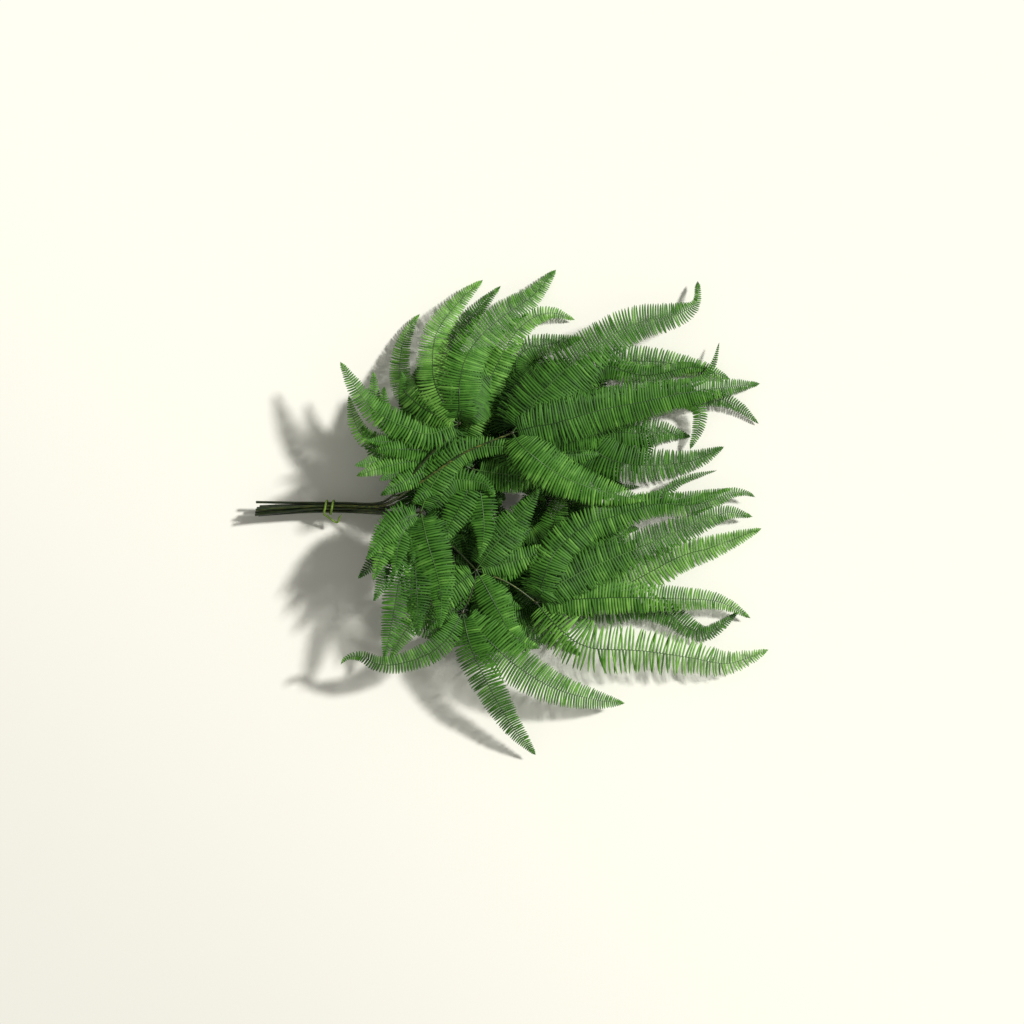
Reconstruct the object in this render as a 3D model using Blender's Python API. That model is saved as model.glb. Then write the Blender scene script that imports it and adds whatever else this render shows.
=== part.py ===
"""A tied bunch of cut umbrella fern fronds, lying on its side on a flat surface.

Nine stalks leave the tie side by side. Each ends in a fork, where comb-like pinnae spread, and some
forks carry a branch to a second fork. The fronds are laid one after the other, from the surface up,
and each piece rests on what is already under it. X runs along the stalks, from the cut ends to the
leaf tips, and Z is up. The origin is on the surface, under the middle of the bunch.
"""

import math
from collections import namedtuple

import bmesh
import bpy
import numpy as np

MM = 0.001

# The whole bunch, in plan. The routes below are drawn in millimetres for these drawn sizes, and
# they stretch to the sizes given here.
LENGTH = 0.600
WIDTH = 0.569
DRAWN_LENGTH = 0.600
DRAWN_WIDTH = 0.569

# Stalks, each ending in a bud where its pinnae meet
STALK_RADIUS = 0.0015
FORK_RADIUS = 0.0010
BUD_RADIUS = 0.0022
BRANCH_START_RADIUS = 0.0007
BRANCH_OPENING = 0.006
BRANCH_BOW = 0.06
STALK_STEP = 0.011
STALK_PASSES = 60

# The tied bundle. BUNDLE_END, BUNDLE_Y, TIE_X and TIED_HALF_LENGTH are drawn plan millimetres.
BUNDLE_GAP = 0.0003
BUNDLE_HEIGHT = 0.021
BUNDLE_Y = 6
BUNDLE_END = (-150, 3.5)
BUNDLE_SPREAD = 1.1
FANNED_LENGTH = 0.030
TIE_X = -213
TIED_HALF_LENGTH = 20

# Tie strand. Its loop's points are millimetres from the bundle's side, in the middle of the tie.
STRAND_RADIUS = 0.0013
STRAND_STEP = 0.0015
TURNS = 1.75
TURN_PITCH = 0.008
LOOP = [
    (13, -0.4, 1.5), (10.5, -4.5, -1), (8.5, -9.5, -4),
    (5, -9, -5), (0, -5.5, -3.5), (-5, -1.8, -1.2),
]

# Pinnae: flat combs, thickest along the midrib, that droop a little to each side
NECK_HALF_WIDTH = 0.0005
NECK_SLOPE = 0.12
NARROW_LENGTH = 0.005
WIDENING_LENGTH = 0.026
TIP_POWER = 0.7
RIB_THICKNESS = 0.0014
TIP_THINNING = 0.65
SIDE_DROOP = 0.14
ARCH = 0.006
MOST_BEND = 0.8
ROUTE_STEP = 0.002
NECK_STATIONS = (0.0, 0.004, 0.009, 0.016, 0.027, 0.040)
STATION_STEP = 0.020
LAST_STATION = 0.006

# Laying: gaps between pieces, the grid, and how far a piece bends to clear what is under it
TOUCH_GAP = 0.0003
LAY_GAP = 0.0016
CELL = 0.002
FORK_REACH = 0.010
FREE_LENGTH = 0.012
BEND_LENGTH = 0.045

Frond = namedtuple("Frond", "name column row cut_end route forks")
Fork = namedtuple("Fork", "x y height pinnae")
Pinna = namedtuple("Pinna", "half_width tip_height bank route")

# The fronds in the order in which they are laid. Lengths are in millimetres, and bank, in degrees,
# raises the side on the left of the route. A cut end is its X, and how far it strays sideways and up
# from the stalk's place in the bundle. A tip height is where the tip would hang to on its own: one
# below zero makes the pinna droop early, and then lie along what is under it.
FRONDS = [
    Frond("low_right", -1.0, -1, (-300, -4.7, -0.7), [(-100, -18)], [
        Fork(-40, -45, 13, [
            Pinna(26, 0, 0, [(-28, -72), (4, -100), (36, -132), (80, -168)]),
            Pinna(22, 0, 0, [(-60, -15), (-85, 25), (-125, 60)]),
            Pinna(22, 30, 0, [(-8, -40), (26, -40), (44, -24), (52, 2), (64, 34)]),
        ]),
        Fork(50, -85, 15, [
            Pinna(23, 6, 0, [(90, -90), (130, -85), (170, -65), (200, -50), (230, -42), (292, -19)]),
            Pinna(18, 4, 0, [(72, -104), (110, -112), (150, -108), (185, -120), (215, -140), (232, -141),
                             (252, -127), (265, -117)]),
            Pinna(15, 8, 0, [(75, -55), (110, -20), (145, 5), (180, 12), (210, 17), (258, 28)]),
        ]),
    ]),
    Frond("low_upper", 0.0, -1, (-298, -4.0, -0.7), [(-100, 25)], [
        Fork(60, 122, 17, [
            Pinna(20, 0, 0, [(20, 125), (-30, 116), (-80, 125), (-120, 150)]),
            Pinna(20, 4, 0, [(28, 142), (3, 165), (14, 190), (48, 198), (82, 205)]),
            Pinna(20, 6, 0, [(72, 150), (105, 173), (160, 177), (200, 172), (235, 165), (255, 156)]),
            Pinna(15, 4, 0, [(110, 128), (180, 132), (235, 134), (264, 125), (289, 104)]),
            Pinna(25, 3, 0, [(90, 103), (125, 94), (150, 93), (180, 94), (209, 89)]),
            Pinna(24, 5, 0, [(75, 95), (105, 66), (140, 56), (180, 56), (215, 62), (248, 77)]),
        ]),
    ]),
    Frond("mid_right", -0.5, 0, (-301, -4.35, 0), [(-100, 26)], [
        Fork(30, 88, 27, [
            Pinna(16, 12, 0, [(60, 135), (95, 168), (118, 170), (142, 161), (168, 161), (192, 167),
                              (215, 170), (238, 163)]),
            Pinna(10, 15, 0, [(75, 115), (130, 142), (190, 148), (224, 157), (236, 176), (242, 199)]),
            Pinna(20, 10, 0, [(80, 98), (140, 124), (192, 136), (216, 126), (219, 104), (208, 74)]),
            Pinna(10, 12, 0, [(50, 50), (85, 22), (130, 12), (170, 18), (195, 36), (215, 43), (239, 49)]),
        ]),
    ]),
    Frond("low_top", 1.0, -1, (-296, -2.3, 0.3), [(-112, 30), (-74, 46)], [
        Fork(-60, 80, 48, [
            Pinna(15, 74, 14, [(-90, 98), (-132, 98), (-156, 120), (-161, 163)]),
            Pinna(15, 76, 0, [(-98, 83), (-140, 76), (-172, 88), (-184, 110), (-189, 135)]),
            Pinna(16, -30, 0, [(-72, 125), (-78, 175), (-64, 205), (-48, 230), (-14, 266)]),
            Pinna(18, 6, 0, [(-40, 118), (-28, 150), (-14, 180), (0, 205), (20, 225), (45, 234), (73, 226)]),
            Pinna(22, 98, 0, [(-86, 71), (-120, 66), (-152, 60), (-181, 54)]),
        ]),
    ]),
    Frond("lower", -0.5, 1, (-301, -7.35, 0.7), [(-125, -2), (-98, -15), (-70, -38)], [
        Fork(-42, -67, 62, [
            Pinna(20, 48, 0, [(-70, -88), (-100, -108), (-125, -138), (-142, -170)]),
            Pinna(16, 44, 0, [(-15, -60), (15, -53), (54, -38)]),
            Pinna(22, 60, 0, [(-24, -42), (0, -14), (13, 2), (32, 28)]),
            Pinna(18, 42, 0, [(-28, -92), (-12, -122), (2, -145), (32, -158)]),
        ]),
        Fork(-58, -116, 64, [
            Pinna(24, 22, 0, [(-42, -135), (-28, -148), (5, -178), (50, -205), (100, -219), (131, -223)]),
            Pinna(20, 14, 10, [(-50, -150), (-38, -180), (-15, -225), (0, -250), (27, -284)]),
            Pinna(14, 62, -18, [(-72, -142), (-88, -158), (-112, -170), (-150, -177), (-185, -164),
                                (-199, -176)]),
        ]),
        Fork(28, -105, 48, [
            Pinna(28, 8, 0, [(48, -128), (85, -156), (150, -161), (210, -170), (250, -177), (285, -167),
                             (300, -161)]),
            Pinna(19, 10, 0, [(70, -101), (130, -99), (200, -101), (235, -103), (258, -111), (279, -124)]),
            Pinna(23, 14, 0, [(56, -82), (100, -60), (150, -40), (180, -27), (210, -15), (250, 0),
                              (281, -5)]),
            Pinna(20, 16, 0, [(37, -75), (50, -45), (85, -15), (120, -4), (165, 10), (200, 8), (230, 13),
                              (265, 25), (284, 18)]),
        ]),
    ]),
    Frond("centre", 0.5, 0, (-299, -2.65, 1), [(-110, 10), (-72, 22)], [
        Fork(-46, 50, 60, [
            Pinna(22, 44, 0, [(-15, 45), (15, 42), (55, 36)]),
            Pinna(15, 58, 0, [(-75, 61), (-110, 60), (-142, 54), (-180, 42)]),
            Pinna(18, 54, 0, [(-38, 28), (-34, 0), (-33, -25), (-38, -52)]),
            Pinna(18, 60, 0, [(-50, 30), (-60, 8), (-72, -14), (-88, -44)]),
        ]),
    ]),
    Frond("low_left", -1.5, 0, (-297, -4.35, 0), [(-140, -2)], [
        Fork(-106, 0, 70, [
            Pinna(20, 88, 0, [(-118, -32), (-130, -75), (-138, -122), (-148, -168)]),
            Pinna(20, 97, 0, [(-128, -14), (-144, -34), (-153, -56), (-160, -78)]),
            Pinna(24, 60, 0, [(-98, -34), (-88, -68), (-82, -98), (-84, -134)]),
            Pinna(17, 80, 0, [(-100, 18), (-91, 34), (-72, 62), (-52, 73), (-20, 76), (0, 73), (12, 60)]),
        ]),
    ]),
    Frond("upper_right", 0.5, 1, (-300, -4.65, 1.7), [(-110, 32), (-55, 70)], [
        Fork(0, 92, 80, [
            Pinna(28, 12, -6, [(20, 120), (50, 155), (80, 180), (120, 208), (150, 222), (185, 229),
                               (214, 243), (217, 271)]),
            Pinna(25, 10, 6, [(25, 99), (50, 103), (100, 118), (150, 128), (200, 139), (250, 146),
                              (290, 151)]),
            Pinna(24, 22, -6, [(8, 80), (20, 68), (50, 46), (80, 32), (115, 22), (155, 14)]),
        ]),
    ]),
    Frond("upper_left", 1.5, 0, (-300, 1.05, 0), [(-120, 38), (-90, 72)], [
        Fork(-61, 103, 86, [
            Pinna(18, 74, 10, [(-98, 90), (-130, 102), (-152, 112), (-175, 135), (-199, 174)]),
            Pinna(15, -45, -12, [(-88, 112), (-115, 130), (-129, 150), (-131, 185), (-120, 218), (-109, 233)]),
            Pinna(19, -35, 0, [(-78, 125), (-90, 150), (-92, 190), (-86, 215), (-60, 250), (-35, 273)]),
            Pinna(23, -20, 0, [(-61, 140), (-58, 165), (-48, 190), (-30, 212), (-5, 233), (20, 250),
                             (51, 285)]),
        ]),
    ]),
]


class Pile:
    """The height of what is already laid, on a square grid over the surface."""

    def __init__(self):
        self.half_side = 0.6 * max(LENGTH, WIDTH)
        self.cells = int(2 * self.half_side / CELL) + 1
        self.top = np.zeros((self.cells, self.cells))

    def index(self, plan):
        found = np.floor((plan + self.half_side) / CELL).astype(int)
        return np.clip(found, 1, self.cells - 2)

    def height(self, plan):
        """The greatest height in the cell of each plan point and in the eight cells round it."""
        at = self.index(plan)
        highest = np.zeros(at.shape[:-1])
        for dx in (-1, 0, 1):
            for dy in (-1, 0, 1):
                highest = np.maximum(highest, self.top[at[..., 0] + dx, at[..., 1] + dy])
        return highest

    def add(self, plan, heights):
        at = self.index(plan)
        np.maximum.at(self.top, (at[..., 0], at[..., 1]), heights)


def in_plan(x, y):
    """A drawn point in millimetres, as a plan point in metres at the bunch's own size."""
    return np.array([x * MM * LENGTH / DRAWN_LENGTH, y * MM * WIDTH / DRAWN_WIDTH])


def distances(points):
    steps = np.linalg.norm(np.diff(points, axis=0), axis=1)
    return np.concatenate([[0.0], np.cumsum(steps)])


def at_distances(points, along, wanted):
    return np.stack([np.interp(wanted, along, points[:, i]) for i in range(points.shape[1])], axis=1)


def smoothed(values, passes):
    """Each value drawn towards its neighbours, over and over, with both ends held."""
    values = np.array(values, float)
    for _ in range(passes):
        values[1:-1] = 0.25 * values[:-2] + 0.5 * values[1:-1] + 0.25 * values[2:]
    return values


def evenly(points, step):
    along = distances(points)
    count = max(3, int(round(along[-1] / step)) + 1)
    return at_distances(points, along, np.linspace(0, along[-1], count))


def curved_route(points, step):
    """Evenly spaced points on a smooth curve that runs through the given ones."""
    points = np.array(points, float)
    before = 2 * points[0] - points[1]
    after = 2 * points[-1] - points[-2]
    controls = np.vstack([before, points, after])
    dense = []
    for a, b, c, d in zip(controls, controls[1:], controls[2:], controls[3:]):
        t = np.linspace(0, 1, 40, endpoint=False)[:, None]
        dense.append(b + 0.5 * t * (c - a + t * (2 * a - 5 * b + 4 * c - d + t * (3 * (b - c) + d - a))))
    return evenly(np.vstack(dense + [points[-1:]]), step)


def rounded_route(points, step, passes):
    """Evenly spaced points on straight runs between the given ones, with the corners rounded."""
    return smoothed(evenly(np.array(points, float), step), passes)


def raised(from_fixed, along, need):
    """A smooth lift along a piece that is at least need everywhere, and none at its fixed ends."""
    lift = np.zeros_like(need)
    for _ in range(3):
        short = np.maximum(need - lift, 0.0)
        reach = np.minimum(BEND_LENGTH, np.maximum(from_fixed, 1e-6))
        away = np.abs(along[:, None] - along[None, :]) / reach[None, :]
        bump = np.where(away < 1, np.cos(0.5 * np.pi * np.minimum(away, 1)) ** 2, 0.0)
        lift = smoothed(lift + np.max(bump * short[None, :], axis=1), 6)
    return lift


def side_of(plan):
    """The unit plan direction to the left of each point of a route."""
    ahead = np.gradient(plan, axis=0)
    ahead /= np.linalg.norm(ahead, axis=1)[:, None]
    return np.stack([-ahead[:, 1], ahead[:, 0]], axis=1)


def lay(pile, plan, height, shape, free, fixed_end=False):
    """Lifts a piece clear of the pile, adds it to the pile, and returns its new heights.

    shape gives, for each route point, the sideways place, the height and the half thickness of
    points across the piece. free marks the route points whose place is settled already.
    """
    sideways, above, half_thick = shape
    across = plan[:, None, :] + sideways[:, :, None] * side_of(plan)[:, None, :]
    under = pile.height(across)
    gap = np.where(under > 0, LAY_GAP, 0.0)
    need = np.max(under + gap - above + half_thick, axis=1) - height
    need = np.where(free, 0.0, np.maximum(need, 0.0))
    along = distances(plan)
    from_fixed = np.minimum(along, along[-1] - along) if fixed_end else along
    height = height + raised(from_fixed, along, need)
    pile.add(across, height[:, None] + above + half_thick)
    return height


def pinna_shape(along, plan, pinna):
    """Half widths and half thicknesses along a pinna: narrow at its neck, drawn out to its tip."""
    t = along / along[-1]
    opening = np.clip((along - NARROW_LENGTH) / WIDENING_LENGTH, 0, 1)
    opening = opening**2 * (3 - 2 * opening)
    neck = NECK_HALF_WIDTH + NECK_SLOPE * np.minimum(along, NARROW_LENGTH)
    half_width = neck + pinna.half_width * MM * opening
    ahead = np.gradient(plan, axis=0)
    turning = np.abs(np.gradient(np.unwrap(np.arctan2(ahead[:, 1], ahead[:, 0])))) / ROUTE_STEP
    half_width = np.minimum(half_width, MOST_BEND / np.maximum(turning, 1e-6))
    half_width = smoothed(half_width, 12) * (1 - t**2) ** TIP_POWER
    half_thick = 0.5 * RIB_THICKNESS * (1 - TIP_THINNING * t)
    return half_width, half_thick


def stations(along):
    """Where along a pinna its sections are: close together at the neck, then evenly spaced."""
    first, last = NECK_STATIONS[-1], along[-1] - LAST_STATION
    count = max(3, int(round((last - first) / STATION_STEP)) + 1)
    return np.concatenate([NECK_STATIONS[:-1], np.linspace(first, last, count)])


def material(name, colour, roughness):
    made = bpy.data.materials.new(name)
    made.use_nodes = True
    shader = made.node_tree.nodes["Principled BSDF"]
    shader.inputs["Base Color"].default_value = colour
    shader.inputs["Roughness"].default_value = roughness
    return made


def new_object(name, data, surface):
    data.materials.append(surface)
    part = bpy.data.objects.new(name, data)
    bunch.objects.link(part)
    return part


def tube(name, points, radii, surface):
    """A round piece along a route, closed at both ends."""
    curve = bpy.data.curves.new(name, "CURVE")
    curve.dimensions = "3D"
    curve.bevel_depth = 1.0
    curve.bevel_resolution = 2
    curve.use_fill_caps = True
    spline = curve.splines.new("POLY")
    spline.points.add(len(points) - 1)
    for spot, place, radius in zip(spline.points, points, radii):
        spot.co = (*place, 1.0)
        spot.radius = radius
    return new_object(name, curve, surface)


def add_pinna(pile, name, pinna, fork_place, clear):
    start = np.array(fork_place[:2])
    ends = [start] + [in_plan(x, y) for x, y in pinna.route]
    plan = smoothed(curved_route(ends, ROUTE_STEP), 8)
    along = distances(plan)
    count = int(round((along[-1] - clear) / ROUTE_STEP)) + 1
    plan = at_distances(plan, along, np.linspace(clear, along[-1], count))
    along = distances(plan)
    t = along / along[-1]
    tip_height = pinna.tip_height * MM
    height = fork_place[2] + (tip_height - fork_place[2]) * t**1.5 + ARCH * 4 * t * (1 - t)
    half_width, half_thick = pinna_shape(along, plan, pinna)
    bank = math.radians(pinna.bank)
    u = np.linspace(-1, 1, 2 * int(half_width.max() / CELL) + 5)[None, :]
    width = half_width[:, None]
    sideways = u * width * math.cos(bank)
    above = u * width * math.sin(bank) - np.abs(u) * width * SIDE_DROOP
    thick = half_thick[:, None] * (1 - np.abs(u))
    height = lay(pile, plan, height, (sideways, above, thick), along < FREE_LENGTH)

    side = side_of(plan)
    table = np.column_stack([plan, height, side, half_width, half_thick])
    sections = at_distances(table, along, stations(along))
    bm = bmesh.new()
    rings = []
    for x, y, z, side_x, side_y, wide, deep in sections:
        out = wide * math.cos(bank)
        rise = wide * math.sin(bank)
        drop = wide * SIDE_DROOP
        left = (x + side_x * out, y + side_y * out, z + rise - drop)
        right = (x - side_x * out, y - side_y * out, z - rise - drop)
        ring = [left, (x, y, z + deep), right, (x, y, z - deep)]
        rings.append([bm.verts.new(corner) for corner in ring])
    tip = bm.verts.new((*plan[-1], height[-1]))
    for first, second in zip(rings, rings[1:]):
        # Both skins are cut into triangles along the same lines, so they can't cross near an edge.
        for edge in (0, 2):
            for ridge in (1, 3):
                bm.faces.new((first[edge], first[ridge], second[ridge]))
                bm.faces.new((first[edge], second[ridge], second[edge]))
    for i in range(4):
        bm.faces.new((rings[-1][i], rings[-1][(i + 1) % 4], tip))
    bm.faces.new(reversed(rings[0]))
    bmesh.ops.recalc_face_normals(bm, faces=bm.faces)
    mesh = bpy.data.meshes.new(name)
    bm.to_mesh(mesh)
    bm.free()
    return new_object(name, mesh, leaf_surface)


def slot(frond):
    """Where a frond's stalk lies in the tied bundle."""
    pitch = 2 * STALK_RADIUS + BUNDLE_GAP
    y = in_plan(0, BUNDLE_Y)[1] + frond.column * pitch
    return y, BUNDLE_HEIGHT + frond.row * pitch


def fork_height(pile, x, y, height):
    """The wanted height of a fork, or more where the pile under it is higher."""
    reach = np.arange(-FORK_REACH, FORK_REACH + CELL, CELL)
    around = np.stack(np.meshgrid(reach, reach), axis=-1) + in_plan(x, y)
    under = pile.height(around).max()
    return max(height * MM, under + LAY_GAP + BUD_RADIUS)


def add_stalk(pile, frond, fork_place):
    """A stalk from its cut end through the bundle to its first fork."""
    slot_y, slot_z = slot(frond)
    bundle_y = in_plan(0, BUNDLE_Y)[1]
    end_x, end_y = in_plan(*BUNDLE_END)
    fan_y = end_y + BUNDLE_SPREAD * (slot_y - bundle_y)
    cut_x = in_plan(frond.cut_end[0], 0)[0]
    cut_y, cut_z = slot_y + frond.cut_end[1] * MM, slot_z + frond.cut_end[2] * MM
    tie_start = in_plan(TIE_X - TIED_HALF_LENGTH, 0)[0]
    tie_end = in_plan(TIE_X + TIED_HALF_LENGTH, 0)[0]
    fork = np.array(fork_place[:2])
    ends = [(cut_x, cut_y), (tie_start, slot_y), (tie_end, slot_y), (end_x, fan_y)]
    ends += [in_plan(x, y) for x, y in frond.route] + [fork]
    plan = rounded_route(ends, ROUTE_STEP, STALK_PASSES)
    along = distances(plan)
    tied = [along[np.argmin(np.abs(plan[:, 0] - x))] for x in (tie_start, tie_end)]
    marks = [0.0, *tied, along[-1]]
    height = np.interp(along, marks, [cut_z, slot_z, slot_z, fork_place[2]])
    radius = np.interp(along, [tied[1], along[-1]], [STALK_RADIUS, FORK_RADIUS])
    bundled = plan[:, 0] < end_x + FANNED_LENGTH
    return add_tube(pile, f"{frond.name}_stalk", plan, height, radius, bundled)


def neck_start(fork, targets):
    """How far from a fork's centre its pieces begin, so that neighbours don't touch."""
    away = [in_plan(x, y) - in_plan(fork.x, fork.y) for x, y in targets]
    headings = sorted(math.atan2(y, x) for x, y in away)
    headings.append(headings[0] + 2 * math.pi)
    narrowest = min(later - earlier for earlier, later in zip(headings, headings[1:]))
    room = NECK_HALF_WIDTH + BRANCH_START_RADIUS + TOUCH_GAP
    return max(BUD_RADIUS + TOUCH_GAP, 0.5 * room / math.sin(narrowest / 2))


def add_branch(pile, name, first, second, clear):
    """A branch between two forks, bowed a little, that starts beside the first one's bud."""
    first, second = np.array(first), np.array(second)
    middle = (first + second) / 2
    across = np.array([-(second - first)[1], (second - first)[0]])
    plan = curved_route([first[:2], middle[:2] + BRANCH_BOW * across, second[:2]], ROUTE_STEP)
    along = distances(plan)
    wanted = np.linspace(clear, along[-1], int(along[-1] / ROUTE_STEP))
    plan = at_distances(plan, along, wanted)
    along = distances(plan)
    height = np.interp(along, [0.0, along[-1]], [first[2], second[2]])
    radius = np.interp(along, [0.0, BRANCH_OPENING], [BRANCH_START_RADIUS, FORK_RADIUS])
    return add_tube(pile, name, plan, height, radius, along < FREE_LENGTH)


def add_tube(pile, name, plan, height, radius, free):
    """Lays a round piece and models it, with a bud at its far end."""
    around = np.linspace(0, np.pi, 5)[None, :]
    round_side = radius[:, None] * np.sin(around)
    sideways = radius[:, None] * np.cos(around)
    along = distances(plan)
    free = free | (along > along[-1] - FREE_LENGTH)
    height = lay(pile, plan, height, (sideways, 0 * sideways, round_side), free, fixed_end=True)
    count = max(4, int(round(along[-1] / STALK_STEP)))
    wanted = np.linspace(0, along[-1] - 3 * BUD_RADIUS, count)
    centreline = np.column_stack([plan, height])
    points = at_distances(centreline, along, wanted)
    radii = np.interp(wanted, along, radius)
    bud = at_distances(centreline, along, along[-1] - BUD_RADIUS * np.array([1.0, 0.5, 0.0]))
    ahead = (bud[2] - bud[1]) / np.linalg.norm(bud[2] - bud[1])
    points = np.vstack([points, bud, bud[2] + 0.7 * BUD_RADIUS * ahead])
    radii = np.concatenate([radii, [FORK_RADIUS], BUD_RADIUS * np.array([0.85, 0.95, 0.5])])
    return tube(name, points, radii, stalk_surface)


def add_tie():
    """One strand: an open loop at the side, then turns round the bundle."""
    slots = np.array([slot(frond) for frond in FRONDS])
    reach = STALK_RADIUS + TOUCH_GAP + STRAND_RADIUS
    middle_x = in_plan(TIE_X, 0)[0]
    side = np.array([middle_x, slots[:, 0].min() - reach, BUNDLE_HEIGHT])
    route = [side + MM * np.array(point) for point in LOOP]
    for angle in np.linspace(0, 2 * np.pi * TURNS, int(24 * TURNS) + 1):
        outward = np.array([-math.cos(angle), math.sin(angle)])
        held = slots[np.argmax(slots @ outward)]
        y, z = held + reach * outward
        x = middle_x + TURN_PITCH * (angle / (2 * np.pi) - 1)
        route.append(np.array([x, y, z]))
    points = smoothed(curved_route(route, STRAND_STEP), 1)
    return tube("tie", points, np.full(len(points), STRAND_RADIUS), tie_surface)


def build():
    pile = Pile()
    for frond in FRONDS:
        number = 0
        places = []
        clears = []
        for order, fork in enumerate(frond.forks):
            later = [(next_fork.x, next_fork.y) for next_fork in frond.forks[1:] if order == 0]
            clears.append(neck_start(fork, [pinna.route[0] for pinna in fork.pinnae] + later))
            x, y = in_plan(fork.x, fork.y)
            place = (x, y, fork_height(pile, fork.x, fork.y, fork.height))
            places.append(place)
            if order == 0:
                add_stalk(pile, frond, place)
            else:
                add_branch(pile, f"{frond.name}_branch_{order}", places[0], place, clears[0])
        for place, clear, fork in zip(places, clears, frond.forks):
            for pinna in fork.pinnae:
                number += 1
                add_pinna(pile, f"{frond.name}_pinna_{number}", pinna, place, clear)
    add_tie()


def put_on_surface():
    """Moves the whole bunch so that it rests on the surface, with the origin under its middle."""
    graph = bpy.context.evaluated_depsgraph_get()
    corners = []
    for part in bunch.objects:
        shape = part.evaluated_get(graph).to_mesh()
        corners += [part.matrix_world @ vertex.co for vertex in shape.vertices]
    corners = np.array(corners)
    low, high = corners.min(axis=0), corners.max(axis=0)
    for part in bunch.objects:
        part.location = (-(low[0] + high[0]) / 2, -(low[1] + high[1]) / 2, -low[2])


for old in list(bpy.data.objects):
    bpy.data.objects.remove(old)
bunch = bpy.data.collections.new("umbrella_fern_bunch")
bpy.context.scene.collection.children.link(bunch)
leaf_surface = material("leaf", (0.075, 0.175, 0.035, 1.0), 0.45)
stalk_surface = material("stalk", (0.030, 0.045, 0.018, 1.0), 0.40)
tie_surface = material("tie", (0.230, 0.330, 0.060, 1.0), 0.55)
build()
put_on_surface()
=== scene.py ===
"""A tied bunch of cut umbrella fern fronds, lying on its side, with its leaves at full detail.

The script follows the bunch as a florist makes it up: the stalks and their branches, the combs of
pinnules that spread from the forks, the strand that ties it, and then the surface it lies on.
"""

import math

import bmesh
import bpy
import numpy as np
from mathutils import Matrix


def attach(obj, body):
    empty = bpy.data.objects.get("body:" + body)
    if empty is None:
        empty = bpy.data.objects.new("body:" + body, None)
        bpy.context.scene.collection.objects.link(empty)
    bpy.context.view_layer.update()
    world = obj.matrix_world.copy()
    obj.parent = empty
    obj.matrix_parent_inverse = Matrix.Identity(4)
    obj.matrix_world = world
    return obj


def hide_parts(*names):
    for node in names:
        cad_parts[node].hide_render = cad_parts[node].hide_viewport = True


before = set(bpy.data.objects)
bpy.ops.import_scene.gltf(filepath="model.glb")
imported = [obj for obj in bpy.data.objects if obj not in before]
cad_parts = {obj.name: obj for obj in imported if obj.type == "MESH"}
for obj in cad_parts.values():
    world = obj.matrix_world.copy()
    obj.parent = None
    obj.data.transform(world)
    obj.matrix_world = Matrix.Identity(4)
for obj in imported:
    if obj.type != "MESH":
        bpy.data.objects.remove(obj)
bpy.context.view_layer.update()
MM = 0.001

# Stalks and branches. Each is a fern's stipe: a thin, hard, woody stem, near black where it is old
# and olive where it is young. It was cut square at the foot, and ends in a scurfy, dull olive bud,
# which sits in the fork between the leaves.
STALK_SIDES = 14
STALK_STEP = 3 * MM
FEWEST_RINGS = 8
GROOVES = 3
GROOVE_DEPTH = 0.05
STALK_SWELL = 0.04
SWELL_LENGTH = 37 * MM
SAME_POINT = 0.002 * MM
CAP_EDGE = math.radians(60)
STEM_EDGE = math.radians(50)
CAD_SIDES = 8
BUD_RINGS = 4
BUD_LENGTH = 7 * MM
BUD_FADE = 5 * MM
STIPE_BLACK = "#0d1a08"
STIPE_OLIVE = "#74782e"
STIPE_GREEN = "#2f4a1c"
BUD_OLIVE = "#2e2f18"
MOTTLE_SIZE = 9 * MM
STREAK_WIDTH = 0.5 * MM
STREAK_STRETCH = 14
GREENEST = 0.9
# How young a stem is from its foot to its bud, and by how much one stem differs from the next.
YOUNG_PLACES = [0, 0.22, 0.34, 0.55, 1]
YOUNG_SHARES = [0.35, 0.5, 1.3, 1.2, 0.7]
YOUTHS = [0.35, 0.7, 1.1]
STEM_SEED = 100


def hex_colour(code):
    """The linear colour of an sRGB hex value."""
    shares = [int(code[i : i + 2], 16) / 255 for i in (1, 3, 5)]
    return [c / 12.92 if c <= 0.04045 else ((c + 0.055) / 1.055) ** 2.4 for c in shares] + [1.0]


def add_node(tree, kind, inputs=None, **settings):
    """Adds one node. Each input is a value, or the output of another node."""
    node = tree.nodes.new(kind)
    for name, value in settings.items():
        setattr(node, name, value)
    for name, value in (inputs or {}).items():
        if isinstance(value, bpy.types.NodeSocket):
            tree.links.new(value, node.inputs[name])
        else:
            node.inputs[name].default_value = value
    return node


def new_finish(name, **constants):
    """A material whose shader holds these constants, with its node tree and its shader."""
    finish = bpy.data.materials.new(name)
    finish.use_nodes = True
    shader = finish.node_tree.nodes["Principled BSDF"]
    for socket, value in constants.items():
        shader.inputs[socket.replace("_", " ")].default_value = value
    return finish, finish.node_tree, shader


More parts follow.
